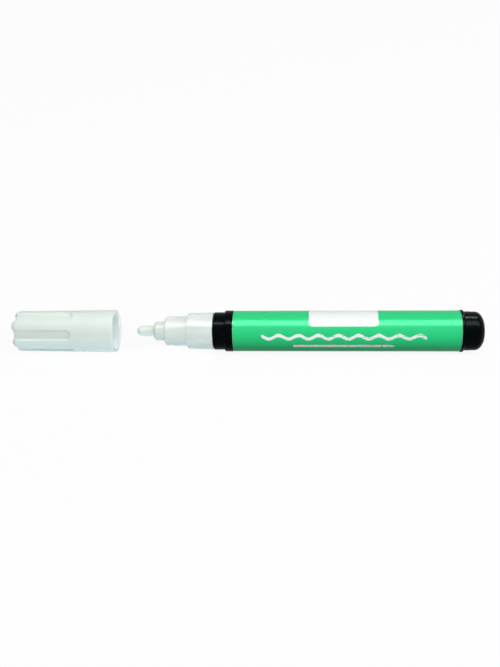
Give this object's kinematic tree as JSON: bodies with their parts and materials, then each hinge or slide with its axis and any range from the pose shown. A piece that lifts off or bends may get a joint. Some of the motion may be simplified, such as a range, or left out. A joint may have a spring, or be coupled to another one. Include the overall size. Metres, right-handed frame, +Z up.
{
  "type": "liquid chalk marker",
  "caption": "Liquid chalk marker with a valve-fed bullet nib in a stepped front section, a labelled barrel and a fluted push-on cap, shown with the cap off.",
  "frame": {"origin": "on the table under the middle of the marker and its pulled-off cap, lying in line", "axes": "+X along the marker from cap and nib to end plug, +Z up from the table"},
  "size_m": [0.181, 0.0164, 0.0164],
  "materials": {
    "cap_white": "translucent moulded polypropylene, satin",
    "section_white": "moulded white plastic, semi-gloss",
    "nib_fibre": "compressed polyester fibre",
    "black_plastic": "moulded black plastic, semi-gloss",
    "barrel_white": "moulded white plastic",
    "label_green": "printed film, glossy",
    "seal_rubber": "moulded rubber",
    "valve_plastic": "moulded natural plastic",
    "spring_steel": "drawn stainless wire",
    "ball_steel": "polished steel"
  },
  "bodies": {
    "marker": {"front_section": "section_white", "front_collar": "black_plastic", "collar_o_ring": "seal_rubber", "barrel_tube": "barrel_white", "label_sleeve": "label_green", "end_plug": "black_plastic", "plug_o_ring": "seal_rubber", "valve_seat": "seal_rubber", "valve_housing": "valve_plastic", "spring_retainer": "valve_plastic", "valve_spring": "spring_steel"},
    "cap": {"cap_shell": "cap_white", "cap_liner": "cap_white"},
    "nib_plunger": {"nib": "nib_fibre", "valve_stem": "valve_plastic"},
    "ball": {"mixing_ball": "ball_steel"}
  },
  "joints": [
    {"name": "cap_slide", "type": "slide", "parent": "marker", "child": "cap", "axis": [1, 0, 0], "range_m": [0, 0.0426]},
    {"name": "nib_press", "type": "slide", "parent": "marker", "child": "nib_plunger", "axis": [1, 0, 0], "range_m": [0, 0.0025], "stiffness_N_per_m": 400, "springref_m": -0.004, "deforming": ["valve_spring"]},
    {"name": "mixing_ball_roll", "type": "slide", "parent": "marker", "child": "ball", "axis": [1, 0, 0], "range_m": [-0.0541, 0]}
  ]
}
